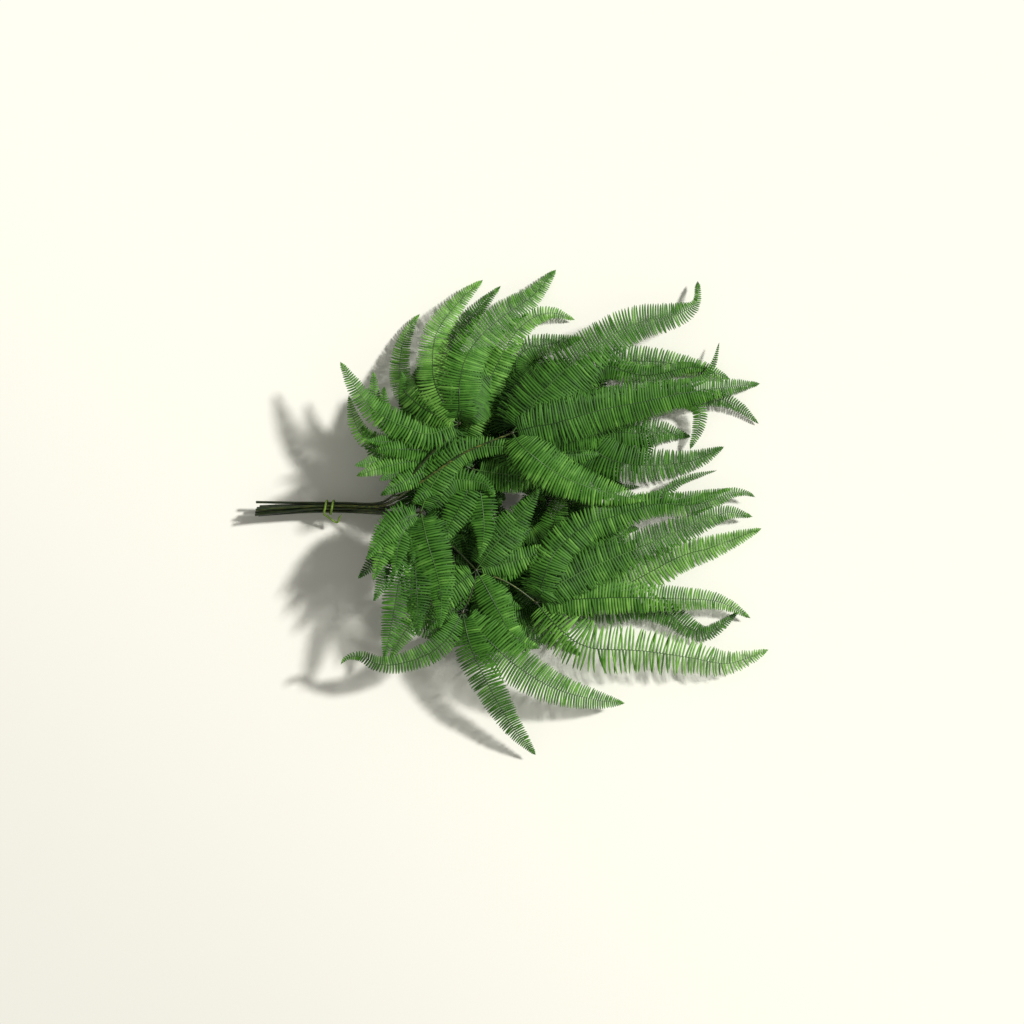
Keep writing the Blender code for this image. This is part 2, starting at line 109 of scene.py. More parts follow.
def woody_stipe():
    """Fern stipe: a waxed, woody skin. It reads dark and a little glossy, with olive streaks."""
    finish, tree, shader = new_finish("woody_fern_stipe", IOR=1.45, Specular_IOR_Level=0.5)
    place = add_node(tree, "ShaderNodeTexCoord").outputs["Object"]
    mottle = add_node(tree, "ShaderNodeTexNoise", {"Vector": place, "Scale": 1 / MOTTLE_SIZE, "Detail": 3.0})
    drawn_out = add_node(tree, "ShaderNodeMapping", {"Vector": place, "Scale": (1 / STREAK_STRETCH, 1, 1)})
    streaks = add_node(tree, "ShaderNodeTexNoise",
                       {"Vector": drawn_out.outputs[0], "Scale": 0.5 / STREAK_WIDTH, "Detail": 2.0})
    age = add_node(tree, "ShaderNodeAttribute", attribute_name="young")
    greenness = add_node(tree, "ShaderNodeMath", {0: mottle.outputs["Fac"], 1: GREENEST},
                         operation="MULTIPLY")
    greenness = add_node(tree, "ShaderNodeMath", {0: greenness.outputs[0], 1: age.outputs["Fac"]},
                         operation="MULTIPLY", use_clamp=True)
    skin = add_node(tree, "ShaderNodeMix", {"Factor": greenness.outputs[0], 6: hex_colour(STIPE_BLACK),
                                            7: hex_colour(STIPE_GREEN)}, data_type="RGBA")
    streak_share = add_node(tree, "ShaderNodeMapRange",
                            {"Value": streaks.outputs["Fac"], "From Min": 0.48, "From Max": 0.72})
    streak_share = add_node(tree, "ShaderNodeMath", {0: streak_share.outputs[0], 1: age.outputs["Fac"]},
                            operation="MULTIPLY", use_clamp=True)
    streaked = add_node(tree, "ShaderNodeMix", {"Factor": streak_share.outputs[0], 6: skin.outputs[2],
                                                7: hex_colour(STIPE_OLIVE)}, data_type="RGBA")
    bud = add_node(tree, "ShaderNodeAttribute", attribute_name="bud")
    budded = add_node(tree, "ShaderNodeMix", {"Factor": bud.outputs["Fac"], 6: streaked.outputs[2],
                                              7: hex_colour(BUD_OLIVE)}, data_type="RGBA")
    tree.links.new(budded.outputs[2], shader.inputs["Base Color"])
    gloss = add_node(tree, "ShaderNodeMapRange",
                     {"Value": mottle.outputs["Fac"], "To Min": 0.30, "To Max": 0.50})
    tree.links.new(gloss.outputs[0], shader.inputs["Roughness"])
    bump = add_node(tree, "ShaderNodeBump", {"Height": streaks.outputs["Fac"], "Strength": 0.5,
                                             "Distance": 0.1 * MM})
    tree.links.new(bump.outputs[0], shader.inputs["Normal"])
    return finish


def layers_from(start):
    """The vertices of a mesh in layers, each one edge further from the start."""
    seen, layers = set(start), [list(start)]
    while layers[-1]:
        reached = [edge.other_vert(vertex) for vertex in layers[-1] for edge in vertex.link_edges]
        layers.append([])
        for vertex in reached:
            if vertex not in seen:
                seen.add(vertex)
                layers[-1].append(vertex)
    return layers[:-1]


def welded_copy(node):
    """The CAD node's mesh, with the points of neighbouring faces made one."""
    bm = bmesh.new()
    bm.from_mesh(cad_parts[node].data)
    bmesh.ops.remove_doubles(bm, verts=bm.verts, dist=SAME_POINT)
    return bm


def tube_centreline(node):
    """The centres and radii of a round CAD node's sections, from a square-cut end on."""
    bm = welded_copy(node)
    sharp = [edge for edge in bm.edges if edge.is_manifold and edge.calc_face_angle() > CAP_EDGE]
    rim = {sharp[0].verts[0]}
    while True:
        wider = rim | {vertex for edge in sharp for vertex in edge.verts if rim & set(edge.verts)}
        if wider == rim:
            break
        rim = wider
    rings = [np.array([vertex.co for vertex in layer]) for layer in layers_from(rim)]
    rings = [ring for ring in rings if len(ring) == CAD_SIDES]
    bm.free()
    centres = np.array([ring.mean(axis=0) for ring in rings])
    radii = [np.linalg.norm(ring - centre, axis=1).mean() for ring, centre in zip(rings, centres)]
    return centres, np.array(radii)


def lengths_along(points):
    """How far along a line each of its points is."""
    return np.concatenate([[0.0], np.cumsum(np.linalg.norm(np.diff(points, axis=0), axis=1))])


def flowing(stations, values, places):
    """Values between stations, on one smooth curve through all of them."""
    slopes = np.gradient(values, stations, axis=0)
    i = np.clip(np.searchsorted(stations, places) - 1, 0, len(stations) - 2)
    step = stations[i + 1] - stations[i]
    t = (places - stations[i]) / step
    if values.ndim > 1:
        step, t = step[..., None], t[..., None]
    return (
        (2 * t**3 - 3 * t**2 + 1) * values[i]
        + (t**3 - 2 * t**2 + t) * step * slopes[i]
        + (3 * t**2 - 2 * t**3) * values[i + 1]
        + (t**3 - t**2) * step * slopes[i + 1]
    )


def unit(vectors):
    """The same vectors, each made one long."""
    return vectors / np.maximum(np.linalg.norm(vectors, axis=-1, keepdims=True), 1e-12)


def round_sections(points, radii, sides, wave=None):
    """Rings of points round a centreline. wave changes the radius round the ring and along it."""
    ahead = unit(np.gradient(points, axis=0))
    across = unit(np.cross(ahead, [0.0, 0.0, 1.0]))
    up = np.cross(across, ahead)
    angle = np.linspace(0, 2 * np.pi, sides, endpoint=False)
    reach = radii[:, None] * (np.ones(sides) if wave is None else wave)
    return (points[:, None, :] + reach[..., None] * (np.cos(angle)[:, None] * across[:, None, :]
                                                     + np.sin(angle)[:, None] * up[:, None, :]))


def tube_faces(count, sides, first=0):
    """Faces of a closed tube whose rings follow each other from the vertex numbered first."""
    faces = []
    for ring in range(count - 1):
        for side in range(sides):
            a, b = first + ring * sides + side, first + ring * sides + (side + 1) % sides
            faces.append((a, a + sides, b + sides, b))
    faces.append(tuple(first + side for side in range(sides)))
    faces.append(tuple(first + (count - 1) * sides + side for side in reversed(range(sides))))
    return faces


def add_piece(name, points, faces, finishes, node, sharp_angle=STEM_EDGE):
    """A smooth mesh piece that rides on the bunch, and stands for a CAD node where one is named."""
    mesh = bpy.data.meshes.new(name)
    mesh.from_pydata([tuple(p) for p in points], [], faces)
    for finish in finishes:
        mesh.materials.append(finish)
    mesh.validate()
    mesh.polygons.foreach_set("use_smooth", [True] * len(mesh.polygons))
    mesh.set_sharp_from_angle(angle=sharp_angle)
    piece = bpy.data.objects.new(name, mesh)
    bpy.context.scene.collection.objects.link(piece)
    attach(piece, "root")
    if node:
        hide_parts(node)
    return piece


def set_shares(piece, name, values):
    """Gives each point of a piece a number that its material reads."""
    layer = piece.data.attributes.new(name, "FLOAT", "POINT")
    layer.data.foreach_set("value", np.asarray(values, np.float32).ravel())


stipe = woody_stipe()
stems = [node for node in sorted(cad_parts) if node.endswith("_stalk") or "_branch_" in node]
for number, node in enumerate(stems):
    draw = np.random.default_rng(STEM_SEED + number)
    centres, radii = tube_centreline(node)
    along = lengths_along(centres)
    run = along[-BUD_RINGS]
    steps = max(FEWEST_RINGS, int(run / STALK_STEP))
    places = np.concatenate([np.linspace(0, run, steps, endpoint=False), along[-BUD_RINGS:]])
    points = flowing(along, centres, places)
    thick = np.interp(places, along, radii)
    phase = draw.uniform(0, 2 * math.pi, 2)
    angle = np.linspace(0, 2 * math.pi, STALK_SIDES, endpoint=False)
    grooves = 1 - GROOVE_DEPTH * np.cos(GROOVES * angle + phase[0])[None, :]
    swell = 1 + STALK_SWELL * np.sin(2 * math.pi * places / SWELL_LENGTH + phase[1])[:, None]
    rings = round_sections(points, thick, STALK_SIDES, grooves * swell)
    stem = add_piece(f"{node}_stem", rings.reshape(-1, 3), tube_faces(len(places), STALK_SIDES), [stipe],
                     node)
    young = draw.choice(YOUTHS) * np.interp(places / along[-1], YOUNG_PLACES, YOUNG_SHARES)
    set_shares(stem, "young", np.repeat(young, STALK_SIDES))
    near_bud = np.clip((places - along[-1] + BUD_LENGTH) / BUD_FADE, 0, 1)
    set_shares(stem, "bud", np.repeat(near_bud, STALK_SIDES))

# Combs. Each is one pinna of a frond: a thin green midrib with a row of narrow leathery pinnules
# down each side, grown as one piece from the fork. The pinnules' edges curl under, so each one is a
# little ridge that catches the light, with a dark gap before the next.
PITCH = 3.4 * MM
PITCH_AT_TIP = 1.7 * MM
PITCH_PLAY = 0.06
FIRST_PINNULE = 4.5 * MM
PAST_TIP = 30 * MM
LOWEST = 1.1 * MM
LEAF_THICKNESS = 0.22 * MM
CURL_UNDER = 0.30
LEAF_EDGE = math.radians(70)
RIB_RADIUS = 0.55 * MM
RIB_TIP_RADIUS = 0.16 * MM
RIB_SIDES = 6
RIB_STEP = 4 * MM
RIB_LEAD = 2.2 * MM
RIB_LIFT = 0.4
FEWEST_RIB_RINGS = 6
# A pinnule's shape from its foot outwards, and its section, from its front edge over the top and
# back underneath. These are shares of its reach and of half its breadth.
OUTWARD = np.array([0.0, 0.10, 0.26, 0.44, 0.62, 0.80, 0.93])
BROADNESS = np.array([1.0, 0.96, 1.0, 1.0, 0.94, 0.78, 0.46])
ACROSS = np.array([-1.0, -0.5, 0.0, 0.5, 1.0, 0.5, 0.0, -0.5])
UPPER = np.array([0.0, 1.0, 1.0, 1.0, 0.0, 0.0, 0.0, 0.0])
LEAF_DEEP = "#123c04"
LEAF_GREEN = "#386b1c"
LEAF_BRIGHT = "#74a848"
# The vein's colour is partly its own and partly a painted highlight along each pinnule's ridge.
LEAF_VEIN_HIGHLIGHT = "#82aa5a"
RIB_DARK = "#1d3a0f"
RIB_GREEN = "#557d3a"
CELL_SIZE = 0.35 * MM
BLOTCH_SIZE = 14 * MM
BLOTCH_STRENGTH = 0.20
VEIN_HIGHLIGHT_STRENGTH = 0.22

# How pinnules stand on the midrib, as shares of their reach: how far they lean and curl towards the
# tip, how they arch and hang, and how much each of these varies from one pinnule to the next.
LEAN, LEAN_GAIN, LEAN_AT_TIP, LEAN_PLAY = 0.02, 0.12, 0.35, 0.035
CURL, CURL_GAIN, CURL_PLAY = 0.04, 0.09, 0.03
ARCH, ARCH_PLAY = 0.05, 0.02
HANG, HANG_PLAY, SAG_PLAY = 0.10, 0.08, 0.03
TWIST, TWIST_PLAY = -0.04, 0.09
REACH_PLAY = 0.035
BREADTH_PLAY = 0.035
TIP_SPAN = 1.3
FILL_AT_TIP = 1.1

# How pale they are, from deep green at 0 to bright green at 1: the usual comb's middle, how far it
# varies, and how much paler it grows along the comb and out along each pinnule.
TONE, TONE_PLAY, COMB_TONE_PLAY, RIB_TONE_PLAY = 0.44, 0.11, 0.15, 0.12
TONE_GAIN = 0.16
TONE_OUTWARD, TONE_OF_TIP = 0.10, 0.08
VEIN_HIGHLIGHT_OF_TIP = 0.3
TONE_SEED = 500
COMB_SEED = 1000

# How a comb differs from the usual one: how much of the pitch its pinnules fill, how pale they are,
# how far they hang, how uneven they are, how far apart they stand, and how pale the midrib is.
USUAL = {"fill": 0.80, "tone": 0.0, "hang": 0.0, "uneven": 0.8, "pitch": 1.0, "rib": 0.1}
COMBS = {
    "lower_pinna_8": {"fill": 0.62, "tone": 0.35, "hang": 1.0, "uneven": 1.8, "pitch": 1.25},
    "low_right_pinna_4": {"tone": 0.2, "pitch": 1.1},
    "lower_pinna_9": {"tone": 0.05},
    "lower_pinna_2": {"rib": 0.5},
    "lower_pinna_3": {"rib": 0.5},
    "lower_pinna_10": {"rib": 0.7},
    "centre_pinna_1": {"rib": 0.7},
    "centre_pinna_3": {"rib": 0.6},
    "low_left_pinna_3": {"rib": 0.6},
    "low_left_pinna_4": {"rib": 0.7, "tone": 0.05},
    "upper_right_pinna_1": {"rib": 0.5},
    "upper_right_pinna_3": {"rib": 0.5},
    "upper_left_pinna_1": {"rib": 0.8, "tone": 0.15},
    "upper_left_pinna_2": {"tone": 0.12},
    "upper_left_pinna_3": {"tone": 0.15},
    "upper_left_pinna_4": {"tone": 0.08},
    "low_top_pinna_1": {"tone": 0.12},
    "low_top_pinna_2": {"tone": 0.12},
    "low_top_pinna_4": {"tone": 0.15},
    "low_top_pinna_5": {"tone": 0.12},
}

# Under the combs that the frame lays out, each fork carries smaller ones that fill the spaces
# between them: how far round the fork each is turned, how long and how broad it is, and how much
# lower it starts and ends. None reaches past the dense middle of the bunch. The combs that stand
# highest, towards the stalks, have theirs at their own height.
FILLERS = ((-15, 0.66, 0.95, 4.0, 9.0), (14, 0.60, 0.95, 6.0, 12.0), (-38, 0.5, 1.0, 12.0, 26.0),
           (36, 0.5, 1.0, 15.0, 30.0), (64, 0.5, 1.0, 20.0, 34.0))
HIGH_FILLERS = ((-14, 0.86, 1.1, 1.0, 0.0), (13, 0.82, 1.1, 2.0, 2.0), (-30, 0.6, 1.0, 5.0, 8.0),
                (28, 0.6, 1.0, 7.0, 12.0))
STANDING = ("low_left_pinna_1", "low_left_pinna_2", "low_top_pinna_2", "low_top_pinna_5",
            "centre_pinna_2")
DENSE_MIDDLE = np.array([-0.025, 0.015])
DENSE_REACH = 0.180
SHORTEST_FILLER = 0.3
SHORTENING = 0.02
# Painted shade: how much darker the fillers are painted than their comb, and how much more for each lower
# one, for the shade under the combs above.
FILLER_PAINTED_SHADE = 0.14
DEEPER_PAINTED_SHADE = 0.06
FILLER_SEED = 2000

# How far pinnules reach past the blade's edge, how a comb narrows to its tip, and how wide it is
# where it springs from the fork.
FULLNESS = 1.09
TIP_SLOPE = 0.36
TIP_WIDTH = 0.8 * MM
NECK_SHARE = 0.5
NECK_LENGTH = 26 * MM


def fern_pinnule():
    """Fern leaf: a leathery, waxed leaf. It reads as fresh green, paler on its raised vein, which is partly
    a painted highlight along each pinnule's ridge, with a soft gloss from the wax and a very fine grain from
    its cells."""
    finish, tree, shader = new_finish("leathery_fern_leaf", IOR=1.42, Specular_IOR_Level=0.2)
    place = add_node(tree, "ShaderNodeTexCoord").outputs["Object"]
    tone = add_node(tree, "ShaderNodeAttribute", attribute_name="tone").outputs["Fac"]
    vein_and_highlight = add_node(tree, "ShaderNodeAttribute", attribute_name="vein_and_highlight").outputs["Fac"]
    blotch = add_node(tree, "ShaderNodeTexNoise", {"Vector": place, "Scale": 1 / BLOTCH_SIZE, "Detail": 3.0})
    grain = add_node(tree, "ShaderNodeTexNoise", {"Vector": place, "Scale": 1 / CELL_SIZE, "Detail": 1.0})
    spread = add_node(tree, "ShaderNodeMapRange", {"Value": blotch.outputs["Fac"], "From Min": 0.3,
                                                   "From Max": 0.7, "To Min": -BLOTCH_STRENGTH,
                                                   "To Max": BLOTCH_STRENGTH})
    level = add_node(tree, "ShaderNodeMath", {0: tone, 1: spread.outputs[0]}, operation="ADD")
    greens = add_node(tree, "ShaderNodeValToRGB", {"Fac": level.outputs[0]})
    ramp = greens.color_ramp
    ramp.elements[0].position, ramp.elements[0].color = 0.0, hex_colour(LEAF_DEEP)
    ramp.elements[1].position, ramp.elements[1].color = 1.0, hex_colour(LEAF_BRIGHT)
    ramp.elements.new(0.5).color = hex_colour(LEAF_GREEN)
    vein_highlight_share = add_node(tree, "ShaderNodeMath", {0: vein_and_highlight, 1: VEIN_HIGHLIGHT_STRENGTH}, operation="MULTIPLY")
    leaf = add_node(tree, "ShaderNodeMix", {"Factor": vein_highlight_share.outputs[0], 6: greens.outputs[0],
                                            7: hex_colour(LEAF_VEIN_HIGHLIGHT)}, data_type="RGBA")
    tree.links.new(leaf.outputs[2], shader.inputs["Base Color"])
    gloss = add_node(tree, "ShaderNodeMapRange",
                     {"Value": blotch.outputs["Fac"], "To Min": 0.42, "To Max": 0.58})
    tree.links.new(gloss.outputs[0], shader.inputs["Roughness"])
    bump = add_node(tree, "ShaderNodeBump", {"Height": grain.outputs["Fac"], "Strength": 0.25,
                                             "Distance": 0.05 * MM})
    tree.links.new(bump.outputs[0], shader.inputs["Normal"])
    return finish


def fern_midrib():
    """Fern midrib: a thin, hard, grooved stem. It reads darker and glossier than the leaf."""
    finish, tree, shader = new_finish("fern_midrib", IOR=1.45, Specular_IOR_Level=0.5)
    place = add_node(tree, "ShaderNodeTexCoord").outputs["Object"]
    paleness = add_node(tree, "ShaderNodeAttribute", attribute_name="rib").outputs["Fac"]
    noise = add_node(tree, "ShaderNodeTexNoise", {"Vector": place, "Scale": 0.5 / BLOTCH_SIZE, "Detail": 2.0})
    spread = add_node(tree, "ShaderNodeMapRange",
                      {"Value": noise.outputs["Fac"], "To Min": -0.2, "To Max": 0.35})
    level = add_node(tree, "ShaderNodeMath", {0: paleness, 1: spread.outputs[0]}, operation="ADD",
                     use_clamp=True)
    skin = add_node(tree, "ShaderNodeMix", {"Factor": level.outputs[0], 6: hex_colour(RIB_DARK),
                                            7: hex_colour(RIB_GREEN)}, data_type="RGBA")
    tree.links.new(skin.outputs[2], shader.inputs["Base Color"])
    gloss = add_node(tree, "ShaderNodeMapRange",
                     {"Value": noise.outputs["Fac"], "To Min": 0.3, "To Max": 0.45})
    tree.links.new(gloss.outputs[0], shader.inputs["Roughness"])
    return finish


def loop_length(layer):
    """How long the edges inside a layer of vertices are, all told."""
    edges = {edge for vertex in layer for edge in vertex.link_edges if edge.other_vert(vertex) in layer}
    return sum(edge.calc_length() for edge in edges)


def blade_sections(node):
    """A CAD blade's sections from fork to tip: their centres, and the ways to both edges."""
    bm = welded_copy(node)
    # Each section is four points round the blade. They are one layer each when counted from the tip,
    # and from any other point the layers run slantwise, so that their loops are longer.
    found = []
    for start in bm.verts:
        layers = layers_from([start]) if len(start.link_edges) == 4 else []
        if layers and all(len(layer) == 4 for layer in layers[1:]):
            found.append((sum(loop_length(layer) for layer in layers[1:]), start.index, layers))
    layers = min(found)[2]
    tip = layers[0][0]
    rings = [np.array([vertex.co for vertex in layer]) for layer in reversed(layers[1:])]
    tip_place = np.array(tip.co)
    bm.free()
    centres, edges = [], []
    for ring in rings:
        apart = np.linalg.norm(ring[:, None, :2] - ring[None, :, :2], axis=-1)
        i, j = np.unravel_index(apart.argmax(), apart.shape)
        rest = [k for k in range(4) if k not in (i, j)]
        centres.append(ring[rest].mean(axis=0))
        edges.append((ring[i], ring[j]))
    centres = np.array(centres + [tip_place])
    ahead = np.gradient(centres, axis=0)
    left, right = [], []
    for centre, way, (one, other) in zip(centres, ahead, edges):
        turn = np.cross(way[:2], (one - centre)[:2])
        left.append((one if turn > 0 else other) - centre)
        right.append((other if turn > 0 else one) - centre)
    half_width = np.append((np.linalg.norm(left, axis=1) + np.linalg.norm(right, axis=1)) / 2, 0.0)
    left, right = unit(np.array(left + left[-1:])), unit(np.array(right + right[-1:]))
    return centres, left, right, half_width


def turned_blade(blade, turn, length, breadth, drop, tip_drop):
    """A smaller copy of a blade, turned in plan about the fork it springs from, and lower. It is cut
    short where it would leave the dense middle, and there is none where it would be too short."""
    centres, left, right, half_width = blade
    c, s = math.cos(math.radians(turn)), math.sin(math.radians(turn))
    spin = np.array([[c, s, 0], [-s, c, 0], [0, 0, 1]])
    away = ((centres[-1] - centres[0]) @ spin)[:2]
    while np.linalg.norm(centres[0][:2] + length * away - DENSE_MIDDLE) > DENSE_REACH:
        length -= SHORTENING
        if length < SHORTEST_FILLER:
            return None
    smaller = centres[0] + (centres - centres[0]) @ spin * [length, length, 1]
    share = np.linspace(0, 1, len(centres))
    smaller[:, 2] -= MM * (drop + (tip_drop - drop) * share)
    smaller[:, 2] = np.maximum(smaller[:, 2], LOWEST)
    return smaller, left @ spin, right @ spin, half_width * breadth


def pinnule_starts(draw, first, length, along, half_width, pitch):
    """Where the pinnules of one row spring from the midrib: closer together where it is narrow."""
    starts = []
    at = first
    while at < length:
        starts.append(at)
        share = math.sqrt(np.interp(at, along, half_width) / half_width.max())
        gap = PITCH_AT_TIP + (pitch - PITCH_AT_TIP) * share
        at += gap * draw.uniform(1 - PITCH_PLAY, 1 + PITCH_PLAY)
    return np.array(starts)


def pinnule_rings(line, tips, rib_way, side_way, side, broad, twist):
    """Rings of points round the line of each pinnule, twisted a little and with its edges under."""
    out = unit(np.gradient(np.concatenate([line, tips[:, None]], axis=1), axis=1)[:, :-1])
    up = unit(np.cross(rib_way, side_way) * side)
    forward = unit(np.cross(out, up) * -side)
    up = np.cross(forward, out) * side
    up = np.where(up[..., 2:] < 0, -up, up)
    turned = forward * np.cos(twist)[:, None, None] + up * np.sin(twist)[:, None, None]
    up = up * np.cos(twist)[:, None, None] - forward * np.sin(twist)[:, None, None]
    half = broad[:, None] * BROADNESS[None, :]
    bend = -CURL_UNDER * ACROSS**2
    lift = half[..., None] * bend + LEAF_THICKNESS * (UPPER - 0.5) * (np.abs(ACROSS) < 1)
    return (line[:, :, None, :] + turned[:, :, None, :] * (half[..., None] * ACROSS)[..., None]
            + up[:, :, None, :] * lift[..., None])


def pinnule_row(draw, blade, side, look):
    """The points of all the pinnules down one side of a comb, with the numbers its finish reads, how
    many pinnules there are, and how many points each has."""
    centres, left, right, half_width = blade
    along = lengths_along(centres)
    length, widest = along[-1], half_width.max()
    # The midrib's line and the blade's edge run on past the tip, for the last pinnules to lean along.
    beyond = centres[-1] + PAST_TIP * unit(centres[-1] - centres[-2])
    along, centres = np.append(along, length + PAST_TIP), np.vstack([centres, beyond])
    edge = left if side > 0 else right
    edge, half_width = np.vstack([edge, edge[-1]]), np.append(half_width, 0.0)
    first = FIRST_PINNULE + (0.5 * PITCH if side > 0 else 0.0)
    starts = pinnule_starts(draw, first, length, along, half_width, PITCH * look["pitch"])

    n = len(starts)
    uneven = look["uneven"]
    t = starts / length
    near_tip = np.clip(1 - (length - starts) / (TIP_SPAN * widest), 0, 1)
    lean = LEAN + LEAN_GAIN * t**2 + LEAN_AT_TIP * near_tip**2 + uneven * draw.normal(0, LEAN_PLAY, n)
    curl = CURL + CURL_GAIN * t + uneven * draw.normal(0, CURL_PLAY, n)
    neck = widest * (NECK_SHARE + (1 - NECK_SHARE) * starts / NECK_LENGTH) * (starts < NECK_LENGTH)
    reach = np.maximum(FULLNESS * np.interp(starts, along, half_width), neck)
    reach = np.minimum(reach, TIP_SLOPE * (length - starts) + TIP_WIDTH)
    reach = reach * (1 + uneven * draw.normal(0, REACH_PLAY, n))
    fill = look["fill"] + (FILL_AT_TIP - look["fill"]) * near_tip**3
    broad = 0.5 * fill * np.gradient(starts) * (1 + uneven * draw.normal(0, BREADTH_PLAY, n))
    twist = TWIST + uneven * draw.normal(0, TWIST_PLAY, n)
    arch = draw.normal(ARCH, ARCH_PLAY, n) * reach
    hang = look["hang"] * np.abs(draw.normal(HANG, HANG_PLAY, n))
    hang += np.maximum(draw.normal(0, SAG_PLAY, n), 0)

    u = np.append(OUTWARD, 1.0)[None, :]
    place = starts[:, None] + reach[:, None] * (lean[:, None] * u + curl[:, None] * u**2)
    side_way = unit(flowing(along, edge, place))
    line = flowing(along, centres, place) + side_way * (reach[:, None] * u)[..., None]
    line[..., 2] += arch[:, None] * 4 * u * (1 - u) - hang[:, None] * reach[:, None] * u**2
    line[..., 2] = np.maximum(line[..., 2], LOWEST)
    tips, line, side_way, place = line[:, -1], line[:, :-1], side_way[:, :-1], place[:, :-1]
    rib_way = flowing(along, unit(np.gradient(centres, axis=0)), place)
    rings = pinnule_rings(line, tips, rib_way, side_way, side, broad, twist)
    points = np.concatenate([rings.reshape(n, -1, 3), tips[:, None]], axis=1)

    tone = TONE + look["tone"] + TONE_PLAY * draw.normal(0, 1, n) + TONE_GAIN * (t - 0.5)
    outward = np.repeat(TONE_OUTWARD * (OUTWARD - 0.5), len(ACROSS))
    tones = tone[:, None] + np.append(outward, TONE_OF_TIP)[None, :]
    # The top middle of each pinnule, and a little of its tip, is painted paler: partly its raised vein,
    # partly a painted highlight where the ridge catches the light.
    vein_and_highlight = np.append(np.tile((ACROSS == 0) * UPPER, len(OUTWARD)), VEIN_HIGHLIGHT_OF_TIP)
    return points.reshape(-1, 3), tones.ravel(), np.tile(vein_and_highlight, n), n, points.shape[1]


leaf, midrib = fern_pinnule(), fern_midrib()
ring_size, ring_count = len(ACROSS), len(OUTWARD)
pinnule_faces = []
for ring in range(ring_count - 1):
    for k in range(ring_size):
        a, b = ring * ring_size + k, ring * ring_size + (k + 1) % ring_size
        pinnule_faces.append((a, b, b + ring_size, a + ring_size))
last = (ring_count - 1) * ring_size
pinnule_faces += [(last + k, last + (k + 1) % ring_size, last + ring_size) for k in range(ring_size)]
pinnule_faces.append(tuple(reversed(range(ring_size))))


def add_comb(name, seed, blade, look, node):
    """A comb on one blade: two rows of pinnules and the midrib between them, as one piece."""
    draw = np.random.default_rng(seed)
    centres = blade[0]
    along = lengths_along(centres)
    points, faces, tones, vein_highlights = [], [], [], []
    total = 0
    for side in (1, -1):
        row, row_tones, row_vein_highlights, n, size = pinnule_row(draw, blade, side, look)
        for i in range(n):
            base = total + i * size
            if side > 0:
                faces += [tuple(base + v for v in face) for face in pinnule_faces]
            else:
                faces += [tuple(base + v for v in reversed(face)) for face in pinnule_faces]
        points.append(row)
        tones.append(row_tones)
        vein_highlights.append(row_vein_highlights)
        total += len(row)
    rib_start = len(faces)
    places = np.linspace(0, along[-1], max(FEWEST_RIB_RINGS, int(along[-1] / RIB_STEP)))
    rib_line = flowing(along, centres, places)
    root = rib_line[0] - RIB_LEAD * unit(rib_line[1] - rib_line[0])
    rib_line = np.vstack([root, rib_line])
    rib_radii = np.append(RIB_RADIUS, np.interp(places, [0, along[-1]], [RIB_RADIUS, RIB_TIP_RADIUS]))
    rib_line[:, 2] = np.maximum(rib_line[:, 2] + RIB_LIFT * rib_radii, LOWEST)
    rings = round_sections(rib_line, rib_radii, RIB_SIDES)
    faces += tube_faces(len(rib_line), RIB_SIDES, total)
    points.append(rings.reshape(-1, 3))
    comb = add_piece(name, np.concatenate(points), faces, [leaf, midrib], node, LEAF_EDGE)
    comb.data.polygons.foreach_set("material_index", [0] * rib_start + [1] * (len(faces) - rib_start))
    rib_points = len(rings) * RIB_SIDES
    set_shares(comb, "tone", np.concatenate(tones + [np.zeros(rib_points)]))
    set_shares(comb, "vein_and_highlight", np.concatenate(vein_highlights + [np.zeros(rib_points)]))
    rib_tone = look["rib"] + RIB_TONE_PLAY * draw.uniform(-1, 1)
    set_shares(comb, "rib", np.full(total + rib_points, rib_tone))


pinnae = [node for node in sorted(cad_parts) if "_pinna_" in node]
for number, node in enumerate(pinnae):
    look = {**USUAL, **COMBS.get(node, {})}
    look["tone"] += np.random.default_rng(TONE_SEED + number).uniform(-COMB_TONE_PLAY, COMB_TONE_PLAY)
    blade = blade_sections(node)
    add_comb(f"{node}_comb", COMB_SEED + number, blade, look, node)
    for order, filler in enumerate(HIGH_FILLERS if node in STANDING else FILLERS):
        smaller = turned_blade(blade, *filler)
        # Each filler is painted darker, and more so the lower it lies: painted shade for the depth of the
        # bunch.
        shaded_look = {**look, "tone": look["tone"] - FILLER_PAINTED_SHADE - DEEPER_PAINTED_SHADE * order, "hang": 0.0}
        if smaller:
            seed = FILLER_SEED + 10 * number + order
            add_comb(f"{node}_filler_{order + 1}", seed, smaller, shaded_look, None)

# Tie. It is one strand of fresh bear grass, wound twice round the stalks and tucked under itself,
# with its slack drawn out in a loop at the side. Grass has fine ribs along its length.
STRAND_SIDES = 16
STRAND_STEP = 0.8 * MM
STRAND_RIBS = 5
STRAND_RIB_DEPTH = 0.07
PAINTED_SHADE_ON_RIBS, PAINTED_SHADE_BETWEEN_RIBS = 0.3, 1.5
TUCK_LENGTH = 4 * MM
TUCK_SHARE = 0.35
GRASS_LIME = "#8fae45"
GRASS_GREEN = "#5f8428"
GRASS_STRIPE = 0.6 * MM


